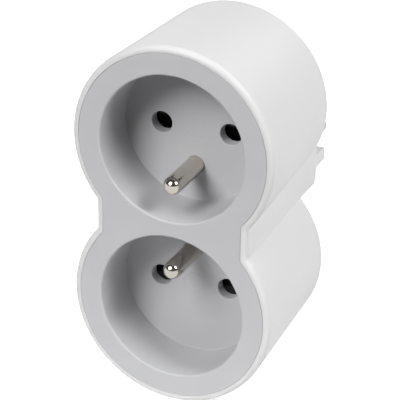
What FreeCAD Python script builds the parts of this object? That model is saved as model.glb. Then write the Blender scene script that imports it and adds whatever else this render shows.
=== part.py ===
# Two-way mains socket adapter: a white figure-of-eight housing with a pale grey socket face, and a round plug
# behind. All lengths are in millimetres.
#
# Frame: the origin is the centre of the plug's face, the sockets face -Y, the plug's pins point along +Y and
# +Z is up. The lower socket is the upper one turned by half a turn about Y, so both earth pins lie inwards.
import FreeCAD
import Part
import Sketcher
import os

SIZES = {
    # Housing
    "rim_width": 1.8,  # of the white rim round the grey face
    "lobe_overlap": 10.9,  # the two lobes share this much of their height
    "waist_inset": 6.55,  # flats between the lobes, in from the lobes' sides
    "mould_draft": 1.9,  # a lobe's radius shrinks this much from front to back
    "housing_wall": 2.2,
    "rear_space": 2.7,  # between the strips and the rear wall
    "rim_round": 1.3,  # front edge of the housing
    "rear_round": 0.9,  # back edge of the lobes
    "socket_bed": 0.15,  # gap round the socket face
    # Plug end
    "wing_depth": 12.65,  # the flats run on behind the lobes by this much
    "wing_height": 10.8,
    "wing_round": 0.8,
    "plug_depth": 6.05,  # of the flattened end of the plug, behind the wings
    "plug_inset": 0.75,  # the plug's round end, in from the flats
    "plug_flat_cut": 2.6,  # depth of the plug's side flats
    "plug_round": 0.4,
    "side_rib": 3.5,  # height of the rib left on each flat
    "plug_block": 8.0,  # plastic that holds the pins
    "seat_gap": 0.05,  # round a pin's root in its seat
    # Pins
    "pin_spacing": 19.0,
    "pin_radius": 2.4,
    "pin_length": 19.0,
    "pin_point": 1.8,  # rounding of a plug pin's point
    "root_collar": 0.4,  # a plug pin's root is wider by this all round
    "earth_collar": 0.2,  # the same on an earth pin
    "earth_offset": 10.0,  # earth pin from the line of the holes
    "earth_length": 16.0,  # earth pin above the well's floor
    "root_step": 0.15,  # a root ends this far below the face round it
    "flange_radius": 4.0,
    "flange_thickness": 1.2,
    "shank_radius": 1.9,
    "peen_radius": 2.8,
    "peen_height": 0.8,
    # Socket face
    "face_land": 5.8,  # of the grey face round a well
    "face_thickness": 2.0,
    "well_radius": 19.7,
    "well_depth": 15.0,
    "well_wall": 1.5,
    "floor_thickness": 3.0,
    "mouth_round": 0.5,
    "floor_round": 0.3,
    "hole_clearance": 0.45,  # round a plug's pin
    "hole_round": 0.3,
    # Shutters
    "shutter_depth": 3.6,
    "slide_gap": 0.2,  # clearance all round a shutter
    "shutter_end": 0.4,  # of the bar beyond a ramp
    "shutter_top": 4.0,  # above the line of the holes
    "shutter_bar": 3.2,  # height of the bar that joins the ramps
    "ramp_reach": 3.3,  # below the line of the holes
    "ramp_top": 2.75,
    "ramp_edge": 0.65,
    "ramp_width": 7.4,
    "rail_width": 1.5,
    "rail_top": 12.0,
    "stop_height": 1.4,
    "stop_reach": 1.6,
    "spring_wire": 0.2,  # radius
    "spring_inset": 0.1,  # within the shutter's depth
    "spring_turns": 6,
    "spring_seat": 0.1,  # gap at each end of a spring
    "spring_pad": 0.1,  # a spring's stop ahead of its post
    "spigot_radius": 0.9,
    "spigot_length": 1.2,
    # Contact carrier
    "plate_gap": 2.6,
    "plate_edge": 0.4,  # beyond the heads of its screws
    "plate_thickness": 2.0,
    "pin_way_gap": 0.35,  # the carrier's holes are wider than the face's
    "chamber_gap": 0.2,  # beside a contact
    "chamber_room": 1.5,  # above and below a contact
    "chamber_wall": 1.2,
    "chamber_lip": 1.0,
    "earth_tube_wall": 1.1,
    "carrier_rib": 4.0,
    "shank_gap": 0.2,
    # Contacts and strips
    "clip_length": 10.6,
    "clip_space": 2.0,  # ahead of a contact
    "clip_bite": 0.15,  # a contact is tighter than a pin by this
    "clip_pinch_reach": 7.6,
    "clip_flare": 0.85,
    "clip_height": 5.0,
    "clip_gauge": 0.5,
    "strip_gauge": 0.8,
    "strip_width": 6.0,
    "strip_overhang": 3.6,
    "strip_play": 0.05,
    "strip_gap": 1.8,  # between the earth strip and the live ones
    "strip_rest_inset": 0.5,
    "rivet_radius": 1.0,
    "rivet_head": 1.7,
    "rivet_head_height": 0.5,
    # Earth contact behind the plug
    "sleeve_clearance": 0.05,
    "sleeve_gauge": 0.6,
    "sleeve_length": 10.8,
    "sleeve_gap": 0.2,
    "sleeve_slit": 0.6,
    "earth_leg_width": 4.0,
    "earth_leg_lap": 7.0,
    "earth_leg_step": 0.4,
    "earth_rivet_height": 2.0,
    "earth_foot_end": 0.6,
    "earth_hole_clearance": 0.4,
    # Screws
    "screw_margin": 3.2,  # between a screw well and the housing's wall
    "screw_radius": 1.45,
    "screw_gap": 0.05,
    "screw_head": 2.8,
    "screw_head_height": 1.8,
    "screw_length": 11.0,
    "screw_slot": 0.7,
    "screw_slot_depth": 1.0,
    "screw_slot_margin": 1.05,  # from the slots' ends to the head's edge
    "screw_well": 8.0,
    "screw_well_gap": 0.5,  # round a screw's head
    "screw_well_wall": 1.1,
    "screw_well_floor": 2.0,
    "post_radius": 3.0,
    "carrier_screw_margin": 0.45,  # between a head and the housing's wall
    "carrier_screw_length": 8.0,
}

doc = FreeCAD.newDocument("socket_adapter")
sheet = doc.addObject("Spreadsheet::Sheet", "sizes")
for row, (alias, number) in enumerate(SIZES.items(), start=1):
    sheet.set(f"A{row}", alias)
    sheet.set(f"B{row}", str(number))
    sheet.setAlias(f"B{row}", alias)
doc.recompute()


class Size:
    """A length that carries its number and the sheet expression that drives it."""

    def __init__(self, text, value):
        self.text = text
        self.value = value

    def __add__(self, other):
        other = size(other)
        return Size(f"({self.text} + {other.text})", self.value + other.value)

    def __sub__(self, other):
        other = size(other)
        return Size(f"({self.text} - {other.text})", self.value - other.value)

    def __mul__(self, other):
        other = size(other)
        return Size(f"({self.text} * {other.text})", self.value * other.value)

    def __truediv__(self, other):
        other = size(other)
        return Size(f"({self.text} / {other.text})", self.value / other.value)

    def __neg__(self):
        return Size(f"(0 - {self.text})", -self.value)


def size(source):
    """The Size for an alias of the sheet or for a bare number."""
    if isinstance(source, Size):
        return source
    if isinstance(source, str):
        return Size(f"sizes.{source}", float(sheet.get(source)))
    return Size(repr(float(source)), float(source))


def bind(thing, name, length):
    """Drives one property of an object from the sheet."""
    thing.setExpression(name, size(length).text)


# Radii and half widths
FACE_RADIUS = size("well_radius") + "face_land"
FRONT_RADIUS = FACE_RADIUS + "rim_width"
REAR_RADIUS = FRONT_RADIUS - "mould_draft"
FRONT_WAIST = FRONT_RADIUS - "waist_inset"
REAR_WAIST = FRONT_WAIST - "mould_draft"
FACE_WAIST = FRONT_WAIST - "rim_width"
REAR_ROOM = REAR_RADIUS - "housing_wall"
PLUG_RADIUS = REAR_WAIST - "plug_inset"
PLUG_FLAT = PLUG_RADIUS - "plug_flat_cut"
HOLE_RADIUS = size("pin_radius") + "hole_clearance"
EARTH_HOLE_RADIUS = size("pin_radius") + "earth_hole_clearance"
SLEEVE_BORE = size("pin_radius") + "sleeve_clearance"
SLEEVE_RADIUS = SLEEVE_BORE + "sleeve_gauge"
CLIP_PINCH = size("pin_radius") - "clip_bite"
CLIP_MOUTH = CLIP_PINCH + "clip_flare"
SCREW_WELL_RADIUS = size("screw_head") + "screw_well_gap"
SCREW_TUBE_RADIUS = SCREW_WELL_RADIUS + "screw_well_wall"

# Depths, from the front of the socket face to the back of the lobes
SHUTTER_STACK = size("shutter_depth") + size("slide_gap") * 2
STRIP_DEPTH = size("chamber_lip") + "clip_space" + "clip_length"
CARRIER_DEPTH = size("well_depth") + "floor_thickness" + SHUTTER_STACK
BODY_DEPTH = CARRIER_DEPTH + STRIP_DEPTH + "strip_gauge" + "rear_space" + "housing_wall"
DRAFT = size("mould_draft") / BODY_DEPTH

# Places along Y, with the plug's face at zero
FRONT = -(BODY_DEPTH + "wing_depth" + "plug_depth")
REAR = FRONT + BODY_DEPTH
WING_REAR = REAR + "wing_depth"
FACE_BACK = FRONT + "face_thickness"
WELL_FLOOR = FRONT + "well_depth"
FLOOR_BACK = WELL_FLOOR + "floor_thickness"
SHUTTER_FRONT = FLOOR_BACK + "slide_gap"
SHUTTER_BACK = SHUTTER_FRONT + "shutter_depth"
CARRIER_FRONT = SHUTTER_BACK + "slide_gap"
CARRIER_BACK = CARRIER_FRONT + "plate_thickness"
STRIP_FRONT = CARRIER_FRONT + STRIP_DEPTH
STRIP_BACK = STRIP_FRONT + "strip_gauge"
EARTH_STRIP_BACK = STRIP_FRONT - "strip_gap"
EARTH_STRIP_FRONT = EARTH_STRIP_BACK - "strip_gauge"
BLOCK_FRONT = -size("plug_block")
WELL_BOTTOM = REAR - "screw_well"
POST_END = WELL_BOTTOM - "screw_well_floor"

# Places across the face
LOBE = FRONT_RADIUS - size("lobe_overlap") / 2
PIN = size("pin_spacing") / 2
EARTH = LOBE - "earth_offset"
SCREW = LOBE + REAR_ROOM - SCREW_TUBE_RADIUS - "screw_margin"
CARRIER_SCREW = REAR_WAIST - "housing_wall" - "screw_head" - "carrier_screw_margin"
WING_WAIST = REAR_WAIST - DRAFT * "wing_depth"
SHUTTER_HALF = PIN + size("ramp_width") / 2 + "shutter_end"
SPRING_STOP = SCREW - "post_radius" - "spring_pad"

PLANES = {"x": ("YZ_Plane", 1), "y": ("XZ_Plane", -1), "z": ("XY_Plane", 1)}


def origin_plane(body, role):
    """One of the body's own origin planes."""
    return next(feature for feature in body.Origin.OriginFeatures if feature.Role == role)


def new_body(label):
    """An empty body, whose label names its file."""
    body = doc.addObject("PartDesign::Body", label)
    body.Label = label
    return body


def new_sketch(body, axis, level, across=None):
    """An empty sketch square to an axis, at a level along it, its own origin moved across if asked."""
    role, sign = PLANES[axis]
    sketch = body.newObject("Sketcher::SketchObject", f"{body.Name}_sketch")
    sketch.AttachmentSupport = [(origin_plane(body, role), "")]
    sketch.MapMode = "FlatFace"
    bind(sketch, "AttachmentOffset.Base.z", size(level) * sign)
    if across is not None:
        bind(sketch, "AttachmentOffset.Base.x", across)
    return sketch


def arc_between(start, end, radius):
    """The short arc from start to end: to the left of its centre for a positive radius, else to the right."""
    chord = end - start
    middle = (start + end) * 0.5
    left = FreeCAD.Vector(-chord.y, chord.x, 0).normalize()
    side = 1 if radius > 0 else -1
    reach = max(radius * radius - chord.Length**2 / 4, 0) ** 0.5
    rise = abs(radius) - reach
    return Part.Arc(start, middle - left * (side * rise), end)


def draw_outline(sketch, corners, rounds=None):
    """A closed outline through the corners. rounds gives the radius of each edge that is an arc."""
    rounds = rounds or {}
    corners = [(size(u), size(v)) for u, v in corners]
    points = [FreeCAD.Vector(u.value, v.value, 0) for u, v in corners]
    starts = []
    ends = []
    for number, start in enumerate(points):
        end = points[(number + 1) % len(points)]
        if number in rounds:
            edge = sketch.addGeometry(arc_between(start, end, rounds[number].value))
        else:
            edge = sketch.addGeometry(Part.LineSegment(start, end))
        flipped = (sketch.getPoint(edge, 1) - start).Length > (sketch.getPoint(edge, 2) - start).Length
        starts.append((edge, 2 if flipped else 1))
        ends.append((edge, 1 if flipped else 2))
    for number, (edge, point) in enumerate(starts):
        sketch.addConstraint(Sketcher.Constraint("Coincident", *ends[number - 1], edge, point))
        for kind, length in zip(("DistanceX", "DistanceY"), corners[number]):
            rule = sketch.addConstraint(Sketcher.Constraint(kind, -1, 1, edge, point, length.value))
            bind(sketch, f"Constraints[{rule}]", length)
        if number in rounds:
            radius = rounds[number]
            rule = sketch.addConstraint(Sketcher.Constraint("Radius", edge, abs(radius.value)))
            bind(sketch, f"Constraints[{rule}]", radius if radius.value > 0 else -radius)


def draw_box(sketch, left, right, bottom, top):
    """A rectangle."""
    draw_outline(sketch, [(left, bottom), (right, bottom), (right, top), (left, top)])


def draw_circle(sketch, u, v, radius):
    """A circle about a point of the sketch."""
    u, v, radius = size(u), size(v), size(radius)
    circle = Part.Circle(FreeCAD.Vector(u.value, v.value, 0), FreeCAD.Vector(0, 0, 1), radius.value)
    edge = sketch.addGeometry(circle)
    for kind, length in (("DistanceX", u), ("DistanceY", v)):
        rule = sketch.addConstraint(Sketcher.Constraint(kind, -1, 1, edge, 3, length.value))
        bind(sketch, f"Constraints[{rule}]", length)
    rule = sketch.addConstraint(Sketcher.Constraint("Radius", edge, radius.value))
    bind(sketch, f"Constraints[{rule}]", radius)


def add_feature(body, kind, sketch):
    """A feature made from a sketch, at the end of the body."""
    feature = body.newObject(f"PartDesign::{kind}", f"{body.Name}_{kind.lower()}")
    feature.Profile = sketch
    sketch.Visibility = False
    return feature


def volume(body):
    """The body's volume so far."""
    return 0 if body.Shape.isNull() else body.Shape.Volume


def changed(body, before, feature):
    """Recomputes, and makes sure that the feature really added or took away material."""
    doc.recompute()
    if abs(volume(body) - before) < 1e-4:
        raise RuntimeError(f"{feature.Name} changes nothing")
    return feature


def extrude(body, axis, start, end, draw, cut=False):
    """Fills, or cuts away, what draw puts in a sketch, from start to end along an axis."""
    before = volume(body)
    start, end = size(start), size(end)
    runs_up = (PLANES[axis][1] > 0) != cut
    sketch = new_sketch(body, axis, start if runs_up else end)
    draw(sketch)
    feature = add_feature(body, "Pocket" if cut else "Pad", sketch)
    bind(feature, "Length", end - start)
    return changed(body, before, feature)


def turn(body, x, z, corners, rounds=None, cut=False):
    """A turned form or cut about the line along Y through x and z. Corners are (radius, place along Y)."""
    before = volume(body)
    sketch = new_sketch(body, "z", z, across=x)
    draw_outline(sketch, corners, rounds)
    feature = add_feature(body, "Groove" if cut else "Revolution", sketch)
    feature.ReferenceAxis = (sketch, ["V_Axis"])
    feature.Angle = 360
    return changed(body, before, feature)


def bore(body, x, z, radius, start, end):
    """A round hole along Y."""
    return turn(body, x, z, [(0, start), (radius, start), (radius, end), (0, end)], cut=True)


def mirror(body, features, role="XY_Plane"):
    """Repeats features on the other side of one of the body's planes."""
    before = volume(body)
    feature = body.newObject("PartDesign::Mirrored", f"{body.Name}_mirrored")
    feature.Originals = features
    feature.MirrorPlane = (origin_plane(body, role), [""])
    body.Tip = feature
    return changed(body, before, feature)


def round_edges(body, radius, wanted):
    """Rounds the edges that wanted accepts."""
    base = body.Tip
    before = volume(body)
    names = [f"Edge{n}" for n, edge in enumerate(base.Shape.Edges, start=1) if wanted(edge)]
    fillet = body.newObject("PartDesign::Fillet", f"{body.Name}_fillet")
    fillet.Base = (base, names)
    bind(fillet, "Radius", radius)
    return changed(body, before, fillet)


def is_hole_edge(edge, radius, level):
    """True for a round edge of that radius, square to Y at that level."""
    curve = edge.Curve
    if not isinstance(curve, Part.Circle):
        return False
    return abs(curve.Radius - radius.value) < 1e-3 and abs(curve.Center.y - level.value) < 1e-3


def turned(body):
    """Gives a piece of the upper socket its place in the lower one, half a turn about Y."""
    half_turn = FreeCAD.Rotation(FreeCAD.Vector(0, 1, 0), 180)
    body.Placement = FreeCAD.Placement(FreeCAD.Vector(0, 0, 0), half_turn)
    return body


def group(label, bodies):
    """Identical pieces that share one node, as separate solids."""
    compound = doc.addObject("Part::Compound", label)
    compound.Label = label
    compound.Links = bodies
    return compound


def mirrored_boxes(left, right, bottom, top):
    """Draws a rectangle in each quarter of the sketch."""

    def draw(sketch):
        for across in (1, -1):
            for up in (1, -1):
                draw_box(sketch, size(left) * across, size(right) * across, size(bottom) * up, size(top) * up)

    return draw


def make_housing():
    """The white moulding: two lobes, the waist, the wings behind it and the plug's round end."""
    body = new_body("housing")
    front, rear = FRONT_RADIUS, REAR_RADIUS
    rim, edge = size("rim_round"), size("rear_round")
    lobe = turn(
        body,
        0,
        LOBE,
        [
            (0, FRONT),
            (front - rim, FRONT),
            (front, FRONT + rim),
            (rear, REAR - edge),
            (rear - edge, REAR),
            (0, REAR),
        ],
        {1: rim, 3: edge},
    )
    mirror(body, [lobe])
    waist, corner = FRONT_WAIST, size("wing_round")

    def draw_waist(sketch):
        corners = [
            (waist - rim, FRONT),
            (waist, FRONT + rim),
            (REAR_WAIST, REAR),
            (-REAR_WAIST, REAR),
            (-waist, FRONT + rim),
            (rim - waist, FRONT),
        ]
        draw_outline(sketch, corners, {0: rim, 4: rim})

    def draw_wings(sketch):
        inside = REAR - "housing_wall"
        inside_waist = REAR_WAIST + DRAFT * "housing_wall"
        corners = [
            (-inside_waist, inside),
            (inside_waist, inside),
            (WING_WAIST, WING_REAR - corner),
            (WING_WAIST - corner, WING_REAR),
            (corner - WING_WAIST, WING_REAR),
            (-WING_WAIST, WING_REAR - corner),
        ]
        draw_outline(sketch, corners, {2: corner, 4: corner})

    wing = size("wing_height") / 2
    extrude(body, "z", -LOBE, LOBE, draw_waist)
    extrude(body, "z", -wing, wing, draw_wings)
    radius, nose = PLUG_RADIUS, size("plug_round")
    inside = REAR - "housing_wall"
    turn(body, 0, 0, [(0, inside), (radius, inside), (radius, -nose), (radius - nose, 0), (0, 0)], {2: nose})
    flats = mirrored_boxes(PLUG_FLAT, radius * 2, size("side_rib") / 2, radius)
    extrude(body, "y", WING_REAR, 0, flats, cut=True)
    hollow_housing(body)
    fit_out_housing(body)
    return body


def hollow_housing(body):
    """Opens the housing to the front, with a ledge for the socket face, and hollows the plug's end."""
    wall = size("housing_wall")
    seat = FACE_RADIUS + "socket_bed"
    waist_seat = FACE_WAIST + "socket_bed"
    inside = REAR - wall
    room = FRONT_RADIUS - wall - DRAFT * "face_thickness"
    rear_room = REAR_ROOM + DRAFT * wall
    cavity = turn(
        body,
        0,
        LOBE,
        [(0, FRONT), (seat, FRONT), (seat, FACE_BACK), (room, FACE_BACK), (rear_room, inside), (0, inside)],
        cut=True,
    )
    mirror(body, [cavity])

    def draw_waist(sketch):
        waist = FRONT_WAIST - wall - DRAFT * "face_thickness"
        half = [(waist_seat, FRONT), (waist_seat, FACE_BACK), (waist, FACE_BACK), (REAR_WAIST - wall, inside)]
        draw_outline(sketch, half + [(-x, y) for x, y in reversed(half)])

    extrude(body, "z", -LOBE, LOBE, draw_waist, cut=True)
    room = PLUG_RADIUS - wall
    bore(body, 0, 0, room, inside, BLOCK_FRONT)


def fit_out_housing(body):
    """Adds the screw wells and the rests for the strips, and bores the plug's block for its pins."""
    radius = SCREW_TUBE_RADIUS
    inside = REAR - "housing_wall"
    tube = turn(body, 0, SCREW, [(0, POST_END), (radius, POST_END), (radius, inside), (0, inside)])
    mirror(body, [tube])
    rest = size("strip_width") / 2 - "strip_rest_inset"
    low = LOBE - "strip_overhang" - "rivet_head" - "rivet_radius"
    high = LOBE - "strip_overhang"
    draw = mirrored_boxes(PIN - rest, PIN + rest, low, high)
    extrude(body, "y", STRIP_BACK + "strip_play", inside, draw)
    well = bore(body, 0, SCREW, SCREW_WELL_RADIUS, WELL_BOTTOM, REAR)
    hole = bore(body, 0, SCREW, size("screw_radius") + "shank_gap", POST_END, WELL_BOTTOM)
    mirror(body, [well, hole])
    root = size("pin_radius") + "root_collar"
    seat = bore(body, PIN, 0, root + "seat_gap", BLOCK_FRONT, 0)
    mirror(body, [seat], "YZ_Plane")
    bore(body, 0, "earth_offset", EARTH_HOLE_RADIUS, BLOCK_FRONT, 0)
    round_edges(body, "hole_round", lambda edge: is_hole_edge(edge, EARTH_HOLE_RADIUS, size(0)))


def make_socket_face():
    """The grey moulding: the face, the two wells with their floors, and the posts behind them."""
    body = new_body("socket_face")
    cup = size("well_radius") + "well_wall"
    face = FACE_RADIUS
    lobe = turn(
        body,
        0,
        LOBE,
        [(0, FRONT), (face, FRONT), (face, FACE_BACK), (cup, FACE_BACK), (cup, FLOOR_BACK), (0, FLOOR_BACK)],
    )
    mirror(body, [lobe])
    waist = FACE_WAIST
    extrude(body, "y", FRONT, FACE_BACK, lambda sketch: draw_box(sketch, -waist, waist, -LOBE, LOBE))
    add_posts(body)
    well, mouth, foot = size("well_radius"), size("mouth_round"), size("floor_round")
    hollow = turn(
        body,
        0,
        LOBE,
        [
            (0, FRONT),
            (well + mouth, FRONT),
            (well, FRONT + mouth),
            (well, WELL_FLOOR - foot),
            (well - foot, WELL_FLOOR),
            (0, WELL_FLOOR),
        ],
        {1: -mouth, 3: foot},
        cut=True,
    )
    mirror(body, [hollow])
    hole = HOLE_RADIUS

    def draw_holes(sketch):
        for x in (PIN, -PIN):
            for z in (LOBE, -LOBE):
                draw_circle(sketch, x, z, hole)

    extrude(body, "y", WELL_FLOOR, FLOOR_BACK, draw_holes, cut=True)
    root = size("pin_radius") + "earth_collar"
    seat = bore(body, 0, EARTH, root + "seat_gap", WELL_FLOOR, FLOOR_BACK)
    pilot = size("screw_radius") + "screw_gap"
    deep = bore(body, 0, SCREW, pilot, WELL_BOTTOM - "screw_length", POST_END)
    mirror(body, [seat, deep])
    side = bore(body, CARRIER_SCREW, 0, pilot, CARRIER_BACK - "carrier_screw_length", CARRIER_FRONT)
    mirror(body, [side], "YZ_Plane")
    round_edges(body, "hole_round", lambda edge: is_hole_edge(edge, hole, WELL_FLOOR))
    return body


def add_posts(body):
    """Adds the shutters' rails and stops, and the posts for both pairs of screws."""
    inner = SHUTTER_HALF + "slide_gap"
    outer = inner + "rail_width"
    low = LOBE - "ramp_reach" - "slide_gap" - "stop_height"
    high = LOBE + "rail_top"
    extrude(body, "y", FLOOR_BACK, CARRIER_FRONT, mirrored_boxes(inner, outer, low, high))
    stop = inner - "stop_reach"
    extrude(body, "y", FLOOR_BACK, CARRIER_FRONT, mirrored_boxes(stop, outer, low, low + "stop_height"))
    radius = size("post_radius")

    def draw_spring_seats(sketch):
        for up in (1, -1):
            draw_box(sketch, -radius, radius, SPRING_STOP * up, SCREW * up)

    extrude(body, "y", FLOOR_BACK, CARRIER_FRONT, draw_spring_seats)
    end = POST_END - "screw_gap"
    post = turn(body, 0, SCREW, [(0, FLOOR_BACK), (radius, FLOOR_BACK), (radius, end), (0, end)])
    mirror(body, [post])
    profile = [(0, FACE_BACK), (radius, FACE_BACK), (radius, CARRIER_FRONT), (0, CARRIER_FRONT)]
    side = turn(body, CARRIER_SCREW, 0, profile)
    mirror(body, [side], "YZ_Plane")


def make_carrier():
    """The insulating plate behind the shutters: a chamber for each contact, a tube for each earth shank."""
    body = new_body("contact_carrier")
    plate = REAR_ROOM - "plate_gap"
    profile = [(0, CARRIER_FRONT), (plate, CARRIER_FRONT), (plate, CARRIER_BACK), (0, CARRIER_BACK)]
    lobe = turn(body, 0, LOBE, profile)
    mirror(body, [lobe])
    waist = CARRIER_SCREW + "screw_head" + "plate_edge"

    def draw_waist(sketch):
        draw_box(sketch, -waist, waist, -LOBE, LOBE)

    extrude(body, "y", CARRIER_FRONT, CARRIER_BACK, draw_waist)
    wide = CLIP_MOUTH + "clip_gauge" + "chamber_gap"
    high = size("clip_height") / 2 + "chamber_room"
    wall = size("chamber_wall")
    across, up = wide + wall, high + wall
    end = STRIP_FRONT - "strip_play"
    extrude(body, "y", CARRIER_BACK, end, mirrored_boxes(PIN - across, PIN + across, LOBE - up, LOBE + up))
    lip = CARRIER_FRONT + "chamber_lip"
    extrude(body, "y", lip, end, mirrored_boxes(PIN - wide, PIN + wide, LOBE - high, LOBE + high), cut=True)
    rib = wall / 2
    ribs = mirrored_boxes(PIN - rib, PIN + rib, size("post_radius") + wall, LOBE - up)
    extrude(body, "y", CARRIER_BACK, CARRIER_BACK + "carrier_rib", ribs)
    shank = size("shank_radius") + "shank_gap"
    outer = shank + "earth_tube_wall"
    end = EARTH_STRIP_FRONT - "strip_play"
    tube = turn(body, 0, EARTH, [(0, CARRIER_BACK), (outer, CARRIER_BACK), (outer, end), (0, end)])
    mirror(body, [tube])

    def draw_holes(sketch):
        for up in (1, -1):
            draw_circle(sketch, 0, EARTH * up, shank)
            draw_circle(sketch, 0, SCREW * up, size("post_radius") + "slide_gap")
            draw_circle(sketch, CARRIER_SCREW * up, 0, size("screw_radius") + "shank_gap")
            for side in (1, -1):
                draw_circle(sketch, PIN * side, LOBE * up, HOLE_RADIUS + "pin_way_gap")

    extrude(body, "y", CARRIER_FRONT, end, draw_holes, cut=True)
    return body


def make_shutter(label):
    """A sprung slider: a bar with a ramp under each hole. A plug's pins push it away from the earth pin."""
    body = new_body(label)
    top = LOBE + "shutter_top"
    half = SHUTTER_HALF
    bar = size("shutter_bar")

    def draw_bar(sketch):
        draw_box(sketch, SHUTTER_FRONT, SHUTTER_BACK, top - bar, top)

    extrude(body, "x", -half, half, draw_bar)
    tip = LOBE - "ramp_reach"

    def draw_ramp(sketch):
        edge = size("ramp_edge")
        corners = [
            (SHUTTER_FRONT, LOBE + "ramp_top"),
            (SHUTTER_BACK - edge, tip),
            (SHUTTER_BACK, tip),
            (SHUTTER_BACK, top),
            (SHUTTER_FRONT, top),
        ]
        draw_outline(sketch, corners)

    reach = size("ramp_width") / 2
    ramp = extrude(body, "x", PIN - reach, PIN + reach, draw_ramp)
    mirror(body, [ramp], "YZ_Plane")
    centre = (SHUTTER_FRONT + SHUTTER_BACK) / 2
    end = top + "spigot_length"
    extrude(body, "z", top, end, lambda sketch: draw_circle(sketch, 0, centre, "spigot_radius"))
    return body


def make_spring(label):
    """The coil spring between a shutter and its stop."""
    body = new_body(label)
    wire, seat = size("spring_wire"), size("spring_seat")
    start = LOBE + "shutter_top" + wire + seat
    length = SPRING_STOP - LOBE - "shutter_top" - (wire + seat) * 2
    radius = size("shutter_depth") / 2 - wire - "spring_inset"
    sketch = new_sketch(body, "x", 0, across=(SHUTTER_FRONT + SHUTTER_BACK) / 2)
    draw_circle(sketch, radius, start, wire)
    helix = add_feature(body, "AdditiveHelix", sketch)
    helix.ReferenceAxis = (sketch, ["V_Axis"])
    helix.Mode = "height-turns-angle"
    bind(helix, "Height", length)
    bind(helix, "Turns", "spring_turns")
    changed(body, 0, helix)
    return body


def make_earth_pin(label):
    """A turned pin: a domed end, a flange behind the well's floor and a tail peened over the earth strip."""
    body = new_body(label)
    pin, shank = size("pin_radius"), size("shank_radius")
    root = pin + "earth_collar"
    flange, peen = size("flange_radius"), size("peen_radius")
    tip = WELL_FLOOR - "earth_length"
    step = WELL_FLOOR + "root_step"
    back = FLOOR_BACK + "flange_thickness"
    end = EARTH_STRIP_BACK + "peen_height"
    corners = [
        (0, tip),
        (pin, tip + pin),
        (pin, step),
        (root, step),
        (root, FLOOR_BACK),
        (flange, FLOOR_BACK),
        (flange, back),
        (shank, back),
        (shank, EARTH_STRIP_BACK),
        (peen, EARTH_STRIP_BACK),
        (peen, end),
        (0, end),
    ]
    turn(body, 0, EARTH, corners, {0: pin})
    return body


def make_plug_pin(label, side):
    """A turned pin, held by its flange behind the plug's block and peened over its strip."""
    body = new_body(label)
    pin, shank = size("pin_radius"), size("shank_radius")
    root = pin + "root_collar"
    flange, peen = size("flange_radius"), size("peen_radius")
    step = -size("root_step")
    back = BLOCK_FRONT - "flange_thickness"
    end = size("pin_length")
    point = size("pin_point")
    start = STRIP_FRONT - "peen_height"
    corners = [
        (pin, end - point),
        (pin - point, end),
        (0, end),
        (0, start),
        (peen, start),
        (peen, STRIP_FRONT),
        (shank, STRIP_FRONT),
        (shank, back),
        (flange, back),
        (flange, BLOCK_FRONT),
        (root, BLOCK_FRONT),
        (root, step),
        (pin, step),
    ]
    turn(body, PIN * side, 0, corners, {0: point})
    return body


def make_strip(label, side):
    """A flat brass strip that joins a plug pin to one contact of each socket."""
    body = new_body(label)
    half = size("strip_width") / 2
    end = LOBE + "strip_overhang"
    hole = size("shank_radius") + "strip_play"

    def draw(sketch):
        centre = PIN * side
        draw_box(sketch, centre - half, centre + half, -end, end)
        draw_circle(sketch, centre, 0, hole)
        for up in (1, -1):
            draw_circle(sketch, centre, LOBE * up, size("rivet_radius") + "strip_play")

    extrude(body, "y", STRIP_FRONT, STRIP_BACK, draw)
    return body


def make_earth_strip():
    """The strip that joins both earth pins and the plug's earth contact."""
    body = new_body("earth_strip")
    half = size("strip_width") / 2
    end = EARTH + "strip_overhang"

    def draw(sketch):
        draw_box(sketch, -half, half, -end, end)
        draw_circle(sketch, 0, "earth_rivet_height", size("rivet_radius") + "strip_play")
        for up in (1, -1):
            draw_circle(sketch, 0, EARTH * up, size("shank_radius") + "strip_play")

    extrude(body, "y", EARTH_STRIP_FRONT, EARTH_STRIP_BACK, draw)
    return body


def make_clip(label, side):
    """A folded spring contact: two leaves that pinch a pin, on a base riveted to its strip."""
    body = new_body(label)
    gauge = size("clip_gauge")
    base, pinch, mouth = size("strip_width") / 2, CLIP_PINCH, CLIP_MOUTH
    waist = STRIP_FRONT - "clip_pinch_reach"
    front = STRIP_FRONT - "clip_length"
    half = [
        (base, STRIP_FRONT),
        (pinch + gauge, waist),
        (mouth + gauge, front),
        (mouth, front),
        (pinch, waist),
        (base - gauge, STRIP_FRONT - gauge),
    ]
    high = size("clip_height") / 2

    def draw(sketch):
        bind(sketch, "AttachmentOffset.Base.x", PIN * side)
        draw_outline(sketch, half + [(-x, y) for x, y in reversed(half)])

    extrude(body, "z", LOBE - high, LOBE + high, draw)
    bore(body, PIN * side, LOBE, size("rivet_radius") + "strip_play", STRIP_FRONT - gauge, STRIP_FRONT)
    return body


def make_rivet(label, x, z, front, back):
    """A rivet with a head at both ends of its grip."""
    body = new_body(label)
    shank, head, high = size("rivet_radius"), size("rivet_head"), size("rivet_head_height")
    corners = [
        (0, front - high),
        (head, front - high),
        (head, front),
        (shank, front),
        (shank, back),
        (head, back),
        (head, back + high),
        (0, back + high),
    ]
    turn(body, x, z, corners)
    return body


def make_contact_rivets():
    """The four rivets that hold the contacts to their strips."""
    front = STRIP_FRONT - "clip_gauge"
    places = [(PIN * side, LOBE * up) for side in (1, -1) for up in (1, -1)]
    rivets = [make_rivet(f"contact_rivet_{n}", x, z, front, STRIP_BACK) for n, (x, z) in enumerate(places)]
    return group("contact_rivets", rivets)


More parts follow.
